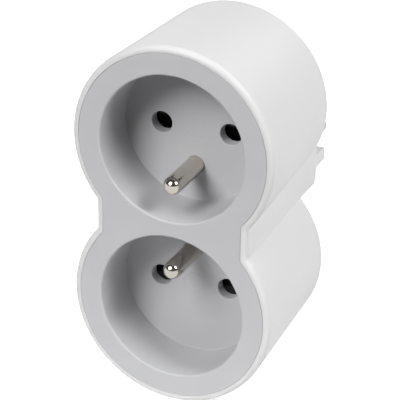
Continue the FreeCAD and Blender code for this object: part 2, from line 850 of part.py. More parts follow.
def make_plug_earth_contact():
    """A rolled tube that grips the wall socket's earth pin, with a leg down to the earth strip."""
    body = new_body("plug_earth_contact")
    inner, outer, gauge = SLEEVE_BORE, SLEEVE_RADIUS, size("sleeve_gauge")
    end = BLOCK_FRONT - "sleeve_gap"
    start = end - "sleeve_length"
    centre = size("earth_offset")
    turn(body, 0, centre, [(inner, start), (outer, start), (outer, end), (inner, end)])
    top = centre - inner - "earth_leg_step"
    bottom = top - gauge
    half = size("earth_leg_width") / 2
    foot = size("earth_foot_end")

    def draw_leg(sketch):
        back = EARTH_STRIP_BACK + gauge
        lap = start + "earth_leg_lap"
        corners = [
            (EARTH_STRIP_BACK, -foot),
            (back, -foot),
            (back, bottom),
            (lap, bottom),
            (lap, top),
            (EARTH_STRIP_BACK, top),
        ]
        draw_outline(sketch, corners)

    extrude(body, "x", -half, half, draw_leg)
    slit = size("sleeve_slit") / 2
    top = centre + outer
    extrude(body, "y", start, end, lambda sketch: draw_box(sketch, -slit, slit, centre, top), cut=True)
    hole = size("rivet_radius") + "strip_play"
    bore(body, 0, "earth_rivet_height", hole, EARTH_STRIP_BACK, EARTH_STRIP_BACK + gauge)
    return body


def make_screw(label, x, z, seat, length):
    """A round-headed screw that points to the front, its head's underside on seat."""
    body = new_body(label)
    shank, head, high = size("screw_radius"), size("screw_head"), size("screw_head_height")
    dome = high / 2
    length = size(length)
    point = shank / 2
    corners = [
        (head, seat + high - dome),
        (head - dome, seat + high),
        (0, seat + high),
        (0, seat - length),
        (point, seat - length),
        (shank, seat - length + shank),
        (shank, seat),
        (head, seat),
    ]
    turn(body, x, z, corners, {0: dome})
    slot, reach = size("screw_slot") / 2, head - "screw_slot_margin"
    deep = seat + high - "screw_slot_depth"
    x, z = size(x), size(z)

    def draw_cross(sketch):
        arms = [(slot, reach), (slot, slot), (reach, slot)]
        quarter = arms + [(u, -v) for u, v in reversed(arms)]
        draw_outline(sketch, [(x + u, z + v) for u, v in quarter + [(-u, -v) for u, v in quarter]])

    extrude(body, "y", deep, seat + high, draw_cross, cut=True)
    return body


def make_screws():
    """Both pairs of screws: through the housing into the socket face, and through the carrier into it."""
    pair = (1, -1)
    long = [make_screw(f"housing_screw_{n}", 0, SCREW * n, WELL_BOTTOM, "screw_length") for n in pair]
    length = "carrier_screw_length"
    short = [make_screw(f"carrier_screw_{n}", CARRIER_SCREW * n, 0, CARRIER_BACK, length) for n in pair]
    return [group("housing_screws", long), group("carrier_screws", short)]


def make_socket_pieces():
    """The pieces that each socket has for itself, with the lower socket's turned by half a turn."""
    pieces = [make_shutter("shutter_upper"), turned(make_shutter("shutter_lower"))]
    pieces += [make_spring("shutter_spring_upper"), turned(make_spring("shutter_spring_lower"))]
    pieces += [make_earth_pin("earth_pin_upper"), turned(make_earth_pin("earth_pin_lower"))]
    for side, name, opposite in ((1, "right", "left"), (-1, "left", "right")):
        pieces.append(make_clip(f"contact_upper_{name}", side))
        pieces.append(turned(make_clip(f"contact_lower_{opposite}", side)))
    return pieces


def make_shared_pieces():
    """The strips, plug pins and fasteners that both sockets share."""
    pieces = []
    for side, name in ((1, "right"), (-1, "left")):
        pieces.append(make_plug_pin(f"plug_pin_{name}", side))
        pieces.append(make_strip(f"{name}_strip", side))
    pieces += [make_earth_strip(), make_plug_earth_contact(), make_contact_rivets()]
    back = EARTH_STRIP_BACK + "sleeve_gauge"
    pieces.append(make_rivet("earth_rivet", 0, "earth_rivet_height", EARTH_STRIP_FRONT, back))
    return pieces + make_screws()


pieces = [make_housing(), make_socket_face(), make_carrier()] + make_socket_pieces() + make_shared_pieces()
doc.recompute()
for thing in doc.Objects:
    if "Invalid" in thing.State or "Error" in thing.State:
        raise RuntimeError(f"{thing.Name} failed: {thing.State}")
for piece in pieces:
    if piece.Shape.isNull() or not piece.Shape.isValid() or not piece.Shape.Solids:
        raise RuntimeError(f"{piece.Label} has no valid shape")
os.makedirs("parts", exist_ok=True)
for piece in pieces:
    piece.Shape.exportStep(f"parts/{piece.Label}.step")
    print(f"{piece.Label}: {len(piece.Shape.Solids)} solid(s), {piece.Shape.Volume:.1f} mm3")
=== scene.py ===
"""A two-way mains socket adapter: the finish of its mouldings, pins and contacts, and the studio round it.

Lengths are in millimetres up to the moment a vertex is made, and the part's own frame is used throughout: the
origin is the centre of the plug's face, the sockets look along -Y and +Z is up.
"""

import logging
import math
from collections.abc import Iterable, Sequence
from dataclasses import dataclass, field
from enum import Enum

import bmesh
import bpy
from mathutils import Matrix, Vector
from mathutils.geometry import delaunay_2d_cdt

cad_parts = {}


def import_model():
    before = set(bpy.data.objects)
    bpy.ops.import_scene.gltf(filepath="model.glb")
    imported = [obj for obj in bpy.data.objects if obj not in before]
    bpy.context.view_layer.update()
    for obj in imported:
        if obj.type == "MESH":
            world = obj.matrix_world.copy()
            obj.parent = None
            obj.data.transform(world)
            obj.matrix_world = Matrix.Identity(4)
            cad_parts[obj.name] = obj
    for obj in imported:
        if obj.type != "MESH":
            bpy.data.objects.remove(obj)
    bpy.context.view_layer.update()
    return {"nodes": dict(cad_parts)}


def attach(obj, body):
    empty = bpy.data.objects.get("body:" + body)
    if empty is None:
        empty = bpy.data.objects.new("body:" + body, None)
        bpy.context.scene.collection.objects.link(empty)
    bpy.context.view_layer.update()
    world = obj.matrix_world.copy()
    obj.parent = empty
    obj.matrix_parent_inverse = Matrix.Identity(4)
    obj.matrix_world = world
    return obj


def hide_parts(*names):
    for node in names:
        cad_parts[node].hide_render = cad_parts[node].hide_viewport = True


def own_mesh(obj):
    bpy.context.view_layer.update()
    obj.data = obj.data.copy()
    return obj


MM = 0.001
PURE_WHITE = "FFFFFF"
WAVE_SPACING = math.tau / 20  # between the bands of a Wave Texture whose scale is 1
OVERLAP = 0.5  # how far inside another form one that joins it starts
PAST = 1.0  # how far a cut goes on outside what it cuts
INWARD = 4.0  # further in than any rounding: it only gives a path its direction there
TINY = 1e-7
log = logging.getLogger("adapter")

Point = tuple[float, float]
Corner = tuple[float, float, float]
Ring = list[bmesh.types.BMVert]


# Helpers for node trees and colours


def linear(colour: str) -> tuple[float, float, float, float]:
    """Turns an sRGB colour into the linear values that shaders take.

    Args:
        colour: six hexadecimal digits.

    Returns:
        Red, green, blue and an alpha of 1.
    """
    channels = [int(colour[place : place + 2], 16) / 255 for place in (0, 2, 4)]
    values = [c / 12.92 if c <= 0.04045 else ((c + 0.055) / 1.055) ** 2.4 for c in channels]
    return values[0], values[1], values[2], 1.0


def add_node(tree: bpy.types.NodeTree, kind: str, inputs: dict | None = None, **settings) -> bpy.types.Node:
    """Adds a node with its settings and inputs.

    Args:
        tree: the tree that the node joins.
        kind: the node's type.
        inputs: for each input's name or number, a constant, or an output socket to link from.
        settings: the node's own properties.

    Returns:
        The node.
    """
    node = tree.nodes.new(kind)
    for name, value in settings.items():
        setattr(node, name, value)
    for key, value in (inputs or {}).items():
        if isinstance(value, bpy.types.NodeSocket):
            tree.links.new(value, node.inputs[key])
        else:
            node.inputs[key].default_value = value
    return node


def new_material(name: str) -> tuple[bpy.types.Material, bpy.types.NodeTree, bpy.types.NodeSocket]:
    """Starts a material.

    Args:
        name: its name.

    Returns:
        The material, its empty tree, and the place on the piece that its patterns read.
    """
    material = bpy.data.materials.new(name)
    material.use_nodes = True
    tree = material.node_tree
    tree.nodes.clear()
    return material, tree, add_node(tree, "ShaderNodeTexCoord").outputs["Object"]


# Finishes


@dataclass(frozen=True)
class Patterns:
    """The patterns that lead a finish's tone, gloss and relief, and how far the last two range."""

    tone: bpy.types.NodeSocket
    gloss: bpy.types.NodeSocket
    relief: bpy.types.NodeSocket
    roughness: tuple[float, float]
    relief_mm: float
    relief_strength: float = 1.0


@dataclass(frozen=True)
class Recipe:
    """What all finishes share: two tones close together, a gloss that wanders a little, and a fine relief."""

    name: str
    colour: str
    second_colour: str
    roughness: float

    def patterns(self, tree: bpy.types.NodeTree, place: bpy.types.NodeSocket) -> Patterns:
        """Adds the patterns, which each kind of finish has of its own.

        Args:
            tree: the material's tree.
            place: the place on the piece.

        Returns:
            The patterns.
        """
        raise NotImplementedError

    def constants(self) -> dict[str, object]:
        """The shader's values that are the same all over the surface."""
        return {"Metallic": 1.0}

    def material(self) -> bpy.types.Material:
        """Builds the material.

        Returns:
            The material.
        """
        material, tree, place = new_material(self.name)
        pattern = self.patterns(tree, place)
        tone = add_node(
            tree,
            "ShaderNodeMix",
            {"Factor": pattern.tone, 6: linear(self.colour), 7: linear(self.second_colour)},
            data_type="RGBA",
        ).outputs[2]
        low, high = pattern.roughness
        gloss = add_node(
            tree, "ShaderNodeMapRange", {"Value": pattern.gloss, "To Min": low, "To Max": high}
        ).outputs["Result"]
        relief = add_node(
            tree,
            "ShaderNodeBump",
            {
                "Height": pattern.relief,
                "Strength": pattern.relief_strength,
                "Distance": pattern.relief_mm * MM,
            },
        ).outputs["Normal"]
        inputs = {"Base Color": tone, "Roughness": gloss, "Normal": relief} | self.constants()
        shader = add_node(tree, "ShaderNodeBsdfPrincipled", inputs)
        add_node(tree, "ShaderNodeOutputMaterial", {"Surface": shader.outputs["BSDF"]})
        return material


@dataclass(frozen=True)
class MouldedPlastic(Recipe):
    """An injection-moulded thermoplastic.

    The steel mould's fine spark-eroded grain breaks up its highlights, and the melt's flow leaves broad, very
    faint changes of tone and gloss.
    """

    grain_mm: float
    grain_depth_mm: float
    sheen: float = 0.3
    flow_mm: float = 24.0
    gloss_change: float = 0.05
    depth_of_light_mm: float = 0.0

    def patterns(self, tree: bpy.types.NodeTree, place: bpy.types.NodeSocket) -> Patterns:
        """Adds the melt's flow and the mould's grain.

        Args:
            tree: the material's tree.
            place: the place on the piece.

        Returns:
            The flow for tone and gloss, and the grain for the relief.
        """
        flow = add_node(
            tree,
            "ShaderNodeTexNoise",
            {"Vector": place, "Scale": 1 / (self.flow_mm * MM), "Detail": 2.0, "Distortion": 0.6},
        ).outputs["Fac"]
        grain = add_node(
            tree,
            "ShaderNodeTexNoise",
            {"Vector": place, "Scale": 1 / (self.grain_mm * MM), "Detail": 3.0, "Roughness": 0.6},
        ).outputs["Fac"]
        half = self.gloss_change / 2
        ends = (self.roughness - half, self.roughness + half)
        return Patterns(flow, flow, grain, ends, self.grain_depth_mm)

    def constants(self) -> dict[str, object]:
        """The sheen, and how light spreads inside the plastic.

        Returns:
            The shader's values that are the same all over the surface.
        """
        values: dict[str, object] = {"Specular IOR Level": self.sheen}
        if self.depth_of_light_mm:
            # Nearly as deep for blue as for red, so that edges stay white
            values |= {"Subsurface Weight": 0.15, "Subsurface Radius": (1.0, 0.95, 0.9)}
            values["Subsurface Scale"] = self.depth_of_light_mm * MM
        return values


@dataclass(frozen=True)
class TurnedMetal(Recipe):
    """A bar turned in a lathe and plated.

    The tool leaves fine rings round the Y axis, which the plating softens, and handling dulls it in patches.
    """

    feed_mm: float
    ring_depth_mm: float
    ring_strength: float = 0.7
    patch_mm: float = 3.0
    gloss_share: float = 0.25

    def patterns(self, tree: bpy.types.NodeTree, place: bpy.types.NodeSocket) -> Patterns:
        """Adds the dull patches and the tool's rings.

        Args:
            tree: the material's tree.
            place: the place on the piece.

        Returns:
            The patches for tone and gloss, and the rings for the relief.
        """
        patches = add_node(
            tree,
            "ShaderNodeTexNoise",
            {"Vector": place, "Scale": 1 / (self.patch_mm * MM), "Detail": 4.0, "Roughness": 0.55},
        ).outputs["Fac"]
        rings = add_node(
            tree,
            "ShaderNodeTexWave",
            {"Vector": place, "Scale": WAVE_SPACING / (self.feed_mm * MM), "Distortion": 0.8, "Detail": 1.0},
            wave_type="BANDS",
            bands_direction="Y",
        ).outputs["Fac"]
        ends = (self.roughness * (1 - self.gloss_share), self.roughness * (1 + self.gloss_share))
        return Patterns(patches, patches, rings, ends, self.ring_depth_mm, self.ring_strength)


@dataclass(frozen=True)
class RolledMetal(Recipe):
    """Sheet or wire, rolled or drawn lengthwise, so that fine lines run along Z."""

    line_mm: float
    line_depth_mm: float
    line_length_mm: float = 12.0
    line_strength: float = 0.6
    stain_mm: float = 5.0
    gloss_share: float = 0.2

    def patterns(self, tree: bpy.types.NodeTree, place: bpy.types.NodeSocket) -> Patterns:
        """Adds the lines and the stains.

        Args:
            tree: the material's tree.
            place: the place on the piece.

        Returns:
            The stains for tone, and the lines for gloss and relief.
        """
        across, along = 1 / (self.line_mm * MM), 1 / (self.line_length_mm * MM)
        stretched = add_node(
            tree, "ShaderNodeMapping", {"Vector": place, "Scale": (across, across, along)}
        ).outputs["Vector"]
        lines = add_node(
            tree, "ShaderNodeTexNoise", {"Vector": stretched, "Scale": 1.0, "Detail": 2.0}
        ).outputs["Fac"]
        stains = add_node(
            tree, "ShaderNodeTexNoise", {"Vector": place, "Scale": 1 / (self.stain_mm * MM), "Detail": 3.0}
        ).outputs["Fac"]
        ends = (self.roughness * (1 - self.gloss_share), self.roughness * (1 + self.gloss_share))
        return Patterns(stains, lines, lines, ends, self.line_depth_mm, self.line_strength)


class Finish(Enum):
    """The finishes of the adapter. Each value gives the material's recipe and the name of a material slot."""

    # White ABS from a finely grained mould: a soft sheen, and a little light gets into it
    WHITE = (
        MouldedPlastic("white_abs", "D3D3D3", "CFCFCF", 0.46, 0.5, 0.0025, depth_of_light_mm=0.6),
        "white_plastic",
    )
    # Grey polycarbonate from a spark-eroded mould: matt, with a grain drawn coarse enough to show
    GREY = (
        MouldedPlastic("grey_polycarbonate", "BABABC", "B7B7B9", 0.5, 0.35, 0.006, sheen=0.2),
        "grey_plastic",
    )
    # Black acetal, nearly without grain: a dark, slippery satin
    BLACK = (MouldedPlastic("black_acetal", "1B1B1C", "161617", 0.42, 0.4, 0.003), "black_plastic")
    # Nickel on turned brass: bright, and warmer than steel
    NICKEL = (TurnedMetal("nickel_plated_brass", "D6D1C8", "C4BEB3", 0.16, 0.12, 0.0004), "nickel")
    # Rolled and stamped brass: yellow, lined and a little stained
    BRASS = (RolledMetal("rolled_brass", "C9A45C", "B08A48", 0.32, 0.15, 0.002), "brass")
    # Drawn spring steel, oiled: a grey shine with hardly a line
    SPRING = (RolledMetal("drawn_spring_steel", "A9ABAF", "94969A", 0.3, 0.1, 0.001), "spring_steel")
    # Zinc-plated steel: a dull shine with the plating's blue cast
    ZINC = (TurnedMetal("zinc_plated_steel", "AEB3BA", "9CA1A9", 0.34, 0.15, 0.001), "zinc_steel")

    @property
    def slot(self) -> str:
        """The name of the finish's material slot."""
        return self.value[1]

    def material(self) -> bpy.types.Material:
        """The material, which is built only once."""
        recipe = self.value[0]
        return bpy.data.materials.get(recipe.name) or recipe.material()


# Helpers for forms


class Blend(Enum):
    """How one closed form meets another."""

    JOIN = "UNION"
    CUT = "DIFFERENCE"


def rounded(corners: Sequence[Corner], step: float = 11.0, nearest: float = 1e-4) -> list[Point]:
    """Rounds the corners of an open path.

    Args:
        corners: the path's corners, each with the radius of its rounding.
        step: the largest turn between two points of a rounding, in degrees.
        nearest: points that are no further apart than this become one.

    Returns:
        The path's points.
    """
    points = [Vector(corners[0][:2])]
    for before, here, after in zip(corners, corners[1:], corners[2:]):
        corner, radius = Vector(here[:2]), here[2]
        if not radius:
            points.append(corner)
            continue
        back = (Vector(before[:2]) - corner).normalized()
        ahead = (Vector(after[:2]) - corner).normalized()
        half = back.angle(ahead) / 2
        centre = corner + (back + ahead).normalized() * radius / math.sin(half)
        start = corner + back * radius / math.tan(half) - centre
        end = corner + ahead * radius / math.tan(half) - centre
        sweep = math.remainder(math.atan2(end.y, end.x) - math.atan2(start.y, start.x), math.tau)
        count = max(2, math.ceil(abs(sweep) / math.radians(step)))
        points += [centre + Matrix.Rotation(sweep * part / count, 2) @ start for part in range(count + 1)]
    points.append(Vector(corners[-1][:2]))
    kept = [points[0]]
    for point in points[1:]:
        if (point - kept[-1]).length > nearest:
            kept.append(point)
    return [(point.x, point.y) for point in kept]


def arc(x: float, z: float, radius: float, turns: Iterable[float]) -> list[Point]:
    """The points of a circle at these turns from the X axis."""
    return [(x + radius * math.cos(turn), z + radius * math.sin(turn)) for turn in turns]


def circle(x: float, z: float, radius: float, count: int) -> list[Point]:
    """Points all round a circle."""
    return arc(x, z, radius, (math.tau * part / count for part in range(count)))


def quarter(steps: int) -> list[float]:
    """A quarter turn in equal steps."""
    return [math.pi / 2 * part / steps for part in range(steps + 1)]


def eased(side: float, level: float, size: float, steps: int) -> list[Point]:
    """Rounds the edge between a flat that faces the front and the side behind it.

    Args:
        side: where the side is, as a radius or an inset.
        level: the level of the flat.
        size: how far past the side the rounding starts, below 0 where it starts short of it.
        steps: the rounding's steps.

    Returns:
        The rounding's points, as places and levels.
    """
    return [
        (side + size * (1 - math.sin(turn)), level + abs(size) * (1 - math.cos(turn)))
        for turn in quarter(steps)
    ]


class Form:
    """A closed skin under construction, made of rings square to the Y axis."""

    def __init__(self) -> None:
        """Starts without a vertex."""
        self.skin = bmesh.new()

    def ring(self, outline: Iterable[Point], level: float) -> Ring:
        """Adds a ring of vertices at a level along Y."""
        return [self.skin.verts.new((x * MM, level * MM, z * MM)) for x, z in outline]

    def bridge(self, first: Ring, second: Ring) -> None:
        """Joins two rings.

        Args:
            first: a ring, or a single pole.
            second: a ring of as many vertices, or a single pole.
        """
        count = max(len(first), len(second))
        for here in range(count):
            ahead = (here + 1) % count
            near = [first[here], first[ahead]] if len(first) > 1 else [first[0]]
            far = [second[ahead], second[here]] if len(second) > 1 else [second[0]]
            self.skin.faces.new(near + far)

    def chain(self, rings: Sequence[Ring]) -> None:
        """Joins each ring to the next."""
        for first, second in zip(rings, rings[1:]):
            self.bridge(first, second)

    def fill(self, outer: Ring, *holes: Ring) -> None:
        """Closes the flat space inside a ring and outside its holes.

        Args:
            outer: the ring round the space.
            holes: circles inside it.
        """
        edges = []
        corners = []
        for loop in (outer, *holes):
            start = len(corners)
            corners += loop
            edges += [(start + here, start + (here + 1) % len(loop)) for here in range(len(loop))]
        places = [Vector((vertex.co.x / MM, vertex.co.z / MM)) for vertex in corners]
        inside_the_edges = 1
        _, _, faces, sources, _, _ = delaunay_2d_cdt(places, edges, [], inside_the_edges, TINY)
        rims = [set(hole) for hole in holes]
        for face in faces:
            met = [corners[sources[corner][0]] for corner in face]
            if not any(rim.issuperset(met) for rim in rims):
                self.skin.faces.new(met)

    def enclose(self, rings: Sequence[Ring]) -> None:
        """Joins each ring to the next, and closes the first and the last.

        Args:
            rings: the rings, in order.
        """
        self.chain(rings)
        for end in (rings[0], rings[-1]):
            if len(end) == 4:
                self.skin.faces.new(end)
            else:
                self.fill(end)

    def turned(self, x: float, z: float, path: Sequence[Point], count: int = 96) -> list[Ring]:
        """Turns a path about a line along Y.

        Args:
            x: where the line is, across.
            z: where the line is, up.
            path: the path, as radii and levels.
            count: steps round the line.

        Returns:
            A ring for each point of the path.
        """
        rings = [self.ring(circle(x, z, r, count) if r > TINY else [(x, z)], level) for r, level in path]
        self.chain(rings)
        return rings

    def piece(self, name: str) -> bpy.types.Object:
        """Ends the form.

        Args:
            name: the object's name.

        Returns:
            An object with the form's mesh, its faces pointing outwards.
        """
        bmesh.ops.remove_doubles(self.skin, verts=self.skin.verts, dist=TINY)
        bmesh.ops.recalc_face_normals(self.skin, faces=self.skin.faces)
        mesh = bpy.data.meshes.new(name)
        self.skin.to_mesh(mesh)
        self.skin.free()
        thing = bpy.data.objects.new(name, mesh)
        bpy.context.scene.collection.objects.link(thing)
        return thing


def rod(name: str, x: float, z: float, radius: float, start: float, end: float) -> bpy.types.Object:
    """Makes a round rod along Y.

    Args:
        name: the object's name.
        x: where the rod is, across.
        z: where the rod is, up.
        radius: its radius.
        start: the level of its first end.
        end: the level of its last end.

    Returns:
        The rod.
    """
    form = Form()
    form.turned(x, z, [(0, start), (radius, start), (radius, end), (0, end)])
    return form.piece(name)


def bar(name: str, across: Point, along: Point, up: Point) -> bpy.types.Object:
    """Makes a straight bar.

    Args:
        name: the object's name.
        across: where it ends along X, in either order.
        along: where it ends along Y.
        up: where it ends along Z, in either order.

    Returns:
        The bar.
    """
    (left, right), (low, high) = sorted(across), sorted(up)
    outline = [(left, low), (right, low), (right, high), (left, high)]
    form = Form()
    form.enclose([form.ring(outline, level) for level in along])
    return form.piece(name)


def applied(thing: bpy.types.Object) -> bpy.types.Object:
    """Turns an object's modifiers into plain mesh and removes them.

    Args:
        thing: the object.

    Returns:
        The same object.
    """
    bpy.context.view_layer.update()
    graph = bpy.context.evaluated_depsgraph_get()
    mesh = bpy.data.meshes.new_from_object(
        thing.evaluated_get(graph), preserve_all_data_layers=True, depsgraph=graph
    )
    thing.modifiers.clear()
    spent = thing.data
    thing.data = mesh
    mesh.name = thing.name
    bpy.data.meshes.remove(spent)
    return thing


def healed(thing: bpy.types.Object, crack: float = 0.002) -> bpy.types.Object:
    """Closes the hairline cracks that blends leave, and drops faces without area.

    Args:
        thing: the object.
        crack: the widest crack that is closed.

    Returns:
        The same object.
    """
    skin = bmesh.new()
    skin.from_mesh(thing.data)
    bmesh.ops.remove_doubles(skin, verts=skin.verts, dist=crack * MM)
    bmesh.ops.dissolve_degenerate(skin, edges=skin.edges, dist=crack * MM / 4)
    skin.to_mesh(thing.data)
    skin.free()
    return thing


def blended(base: bpy.types.Object, others: Sequence[bpy.types.Object], how: Blend) -> bpy.types.Object:
    """Joins other closed forms to a base, or cuts them out of it.

    Args:
        base: the form that stays.
        others: the forms that are used up.
        how: whether they join it or are cut out of it.

    Returns:
        The base.
    """
    for other in others:
        modifier = base.modifiers.new(how.name.lower(), "BOOLEAN")
        modifier.operation = how.value
        modifier.solver = "EXACT"
        modifier.object = other
    applied(base)
    for other in others:
        bpy.data.meshes.remove(other.data)
    return healed(base)


def shaded(thing: bpy.types.Object, sharp: float = 32.0) -> bpy.types.Object:
    """Shades a piece smooth, and keeps its flats flat.

    Args:
        thing: the piece.
        sharp: edges that turn by more than this stay sharp, in degrees.

    Returns:
        The same piece.
    """
    thing.data.shade_smooth()
    thing.data.set_sharp_from_angle(angle=math.radians(sharp))
    modifier = thing.modifiers.new("flats", "WEIGHTED_NORMAL")
    modifier.keep_sharp = True
    return applied(thing)


def socket_key(tree: bpy.types.NodeTree, name: str) -> str:
    """The identifier of a tree's named input."""
    items = tree.interface.items_tree
    return next(item.identifier for item in items if item.name == name and item.in_out == "INPUT")


def new_tree(name: str, inputs: dict[str, tuple[str, object]]) -> tuple[bpy.types.NodeTree, bpy.types.Node]:
    """Starts a geometry tree.

    Args:
        name: the tree's name.
        inputs: for each named input, the kind of its socket and its default.

    Returns:
        The tree and its input node.
    """
    tree = bpy.data.node_groups.new(name, "GeometryNodeTree")
    for way in ("INPUT", "OUTPUT"):
        tree.interface.new_socket("Geometry", in_out=way, socket_type="NodeSocketGeometry")
    for label, (kind, default) in inputs.items():
        socket = tree.interface.new_socket(label, in_out="INPUT", socket_type=kind)
        if default is not None:
            socket.default_value = default
    return tree, add_node(tree, "NodeGroupInput")


def end_tree(
    tree: bpy.types.NodeTree, geometry: bpy.types.NodeSocket, material: bpy.types.NodeSocket
) -> None:
    """Ends a geometry tree with plain mesh in one material.

    Args:
        tree: the tree.
        geometry: the output with the shape.
        material: the output with the material.
    """
    plain = add_node(tree, "GeometryNodeRealizeInstances", {"Geometry": geometry}).outputs[0]
    dressed = add_node(tree, "GeometryNodeSetMaterial", {"Geometry": plain, "Material": material}).outputs[0]
    add_node(tree, "NodeGroupOutput", {"Geometry": dressed})


def run_tree(
    thing: bpy.types.Object, tree: bpy.types.NodeTree, values: dict[str, object]
) -> bpy.types.Object:
    """Runs a geometry tree on an object and keeps the result as plain mesh.

    Args:
        thing: the object.
        tree: the tree.
        values: what its named inputs are set to.

    Returns:
        The same object.
    """
    modifier = thing.modifiers.new(tree.name, "NODES")
    modifier.node_group = tree
    for name, value in values.items():
        modifier[socket_key(tree, name)] = value
    return applied(thing)


def repeated_tree() -> bpy.types.NodeTree:
    """Builds the tree that repeats a piece evenly about the Y axis, such as the two pins of the plug.

    Returns:
        The tree, with the inputs Copies and Material.
    """
    tree, given = new_tree(
        "repeat_about_plug_axis", {"Copies": ("NodeSocketInt", 2), "Material": ("NodeSocketMaterial", None)}
    )
    copies = given.outputs["Copies"]
    places = add_node(tree, "GeometryNodeMeshLine", {"Count": copies, "Offset": (0, 0, 0)}).outputs["Mesh"]
    number = add_node(tree, "GeometryNodeInputIndex").outputs[0]
    part = add_node(tree, "ShaderNodeMath", {0: number, 1: copies}, operation="DIVIDE").outputs[0]
    angle = add_node(tree, "ShaderNodeMath", {0: part, 1: math.tau}, operation="MULTIPLY").outputs[0]
    turn = add_node(tree, "ShaderNodeCombineXYZ", {"Y": angle}).outputs[0]
    copied = add_node(
        tree,
        "GeometryNodeInstanceOnPoints",
        {"Points": places, "Instance": given.outputs["Geometry"], "Rotation": turn},
    ).outputs[0]
    end_tree(tree, copied, given.outputs["Material"])
    return tree


def coil_tree(steps_a_turn: int = 40, steps_round: int = 12) -> bpy.types.NodeTree:
    """Builds the tree that winds a coil spring up the Z axis from a place.

    Args:
        steps_a_turn: the wire's steps along each turn of the coil.
        steps_round: the steps round the wire.

    Returns:
        The tree, with inputs for the coil's sizes, its place and its material.
    """
    tree, given = new_tree(
        "wind_coil",
        {
            "Coil radius": ("NodeSocketFloat", 1.0),
            "Wire radius": ("NodeSocketFloat", 0.1),
            "Length": ("NodeSocketFloat", 1.0),
            "Turns": ("NodeSocketFloat", 6.0),
            "Place": ("NodeSocketVector", (0, 0, 0)),
            "Material": ("NodeSocketMaterial", None),
        },
    )
    sizes = given.outputs
    spiral = add_node(
        tree,
        "GeometryNodeCurveSpiral",
        {
            "Resolution": steps_a_turn,
            "Rotations": sizes["Turns"],
            "Start Radius": sizes["Coil radius"],
            "End Radius": sizes["Coil radius"],
            "Height": sizes["Length"],
        },
    ).outputs[0]
    placed = add_node(
        tree, "GeometryNodeTransform", {"Geometry": spiral, "Translation": sizes["Place"]}
    ).outputs[0]
    wire = add_node(
        tree, "GeometryNodeCurvePrimitiveCircle", {"Resolution": steps_round, "Radius": sizes["Wire radius"]}
    ).outputs[0]
    tube = add_node(
        tree, "GeometryNodeCurveToMesh", {"Curve": placed, "Profile Curve": wire, "Fill Caps": True}
    ).outputs[0]
    end_tree(tree, tube, sizes["Material"])
    return tree


def place(thing: bpy.types.Object, finish: Finish, body: str, *nodes: str) -> None:
    """Gives a finished piece its only material and hands it over to the part.

    Args:
        thing: the piece.
        finish: its finish.
        body: the rigid body that it moves with.
        nodes: the nodes that it stands for.
    """
    thing.data.materials.clear()
    thing.data.materials.append(finish.material())
    thing.data.polygons.foreach_set("material_index", [0] * len(thing.data.polygons))
    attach(thing, body)
    finish.slot
    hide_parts(*nodes)
    log.info("%s: %d faces, in place of %s", thing.name, len(thing.data.polygons), ", ".join(nodes))


# The part


@dataclass(frozen=True)
class Layout:
    """Places and sizes that several pieces share, in millimetres."""

    front: float = -60.0
    face_back: float = -58.0
    well_floor: float = -45.0
    floor_back: float = -42.0
    carrier_front: float = -38.0
    rear: float = -18.7
    wing_rear: float = -6.05
    wall: float = 2.2
    front_radius: float = 27.3
    front_waist: float = 20.75
    draft: float = 1.9
    rim_round: float = 1.3
    rear_round: float = 0.9
    lobe: float = 21.85
    pin: float = 9.5
    earth: float = 11.85
    earth_offset: float = 10.0
    pin_radius: float = 2.4
    screw: float = 37.45
    carrier_screw: float = 13.4
    post_radius: float = 3.0
    well_bottom: float = -26.7
    post_end: float = -28.7
    screw_radius: float = 1.45
    block_front: float = -8.0
    strip_front: float = -24.4
    earth_strip_back: float = -26.2
    peen_height: float = 0.8
    peen_radius: float = 2.8
    shank_radius: float = 1.9
    flange_radius: float = 4.0
    flange_thickness: float = 1.2

    @property
    def slope(self) -> float:
        """How far the sides lean in for each millimetre towards the back."""
        return self.draft / (self.rear - self.rear_round - self.front - self.rim_round)

    def side_inset(self, level: float) -> float:
        """The inset of the housing's side at a level along Y."""
        return (level - self.front - self.rim_round) * self.slope

    def lobed(self, inset: float, around: int = 150, along: int = 8) -> list[Point]:
        """The figure-of-eight outline, all round at the same inset from the housing's widest outline.

        Args:
            inset: how far in.
            around: steps round each lobe.
            along: steps down each flat.

        Returns:
            The outline's points, as x and z.
        """
        radius, waist = self.front_radius - inset, self.front_waist - inset
        crease = self.lobe - math.sqrt(radius**2 - waist**2)
        start = math.atan2(crease - self.lobe, waist)
        sweep = math.pi - 2 * start
        upper = arc(0, self.lobe, radius, (start + sweep * part / around for part in range(around)))
        left = [(-waist, crease - 2 * crease * part / along) for part in range(along)]
        half = upper + left
        return half + [(-x, -z) for x, z in half]


@dataclass(frozen=True)
class Softbox:
    """A round lamp: where it hangs as seen from the part, its width in millimetres and its power in watts."""

    name: str
    direction: Corner
    width: float
    power: float


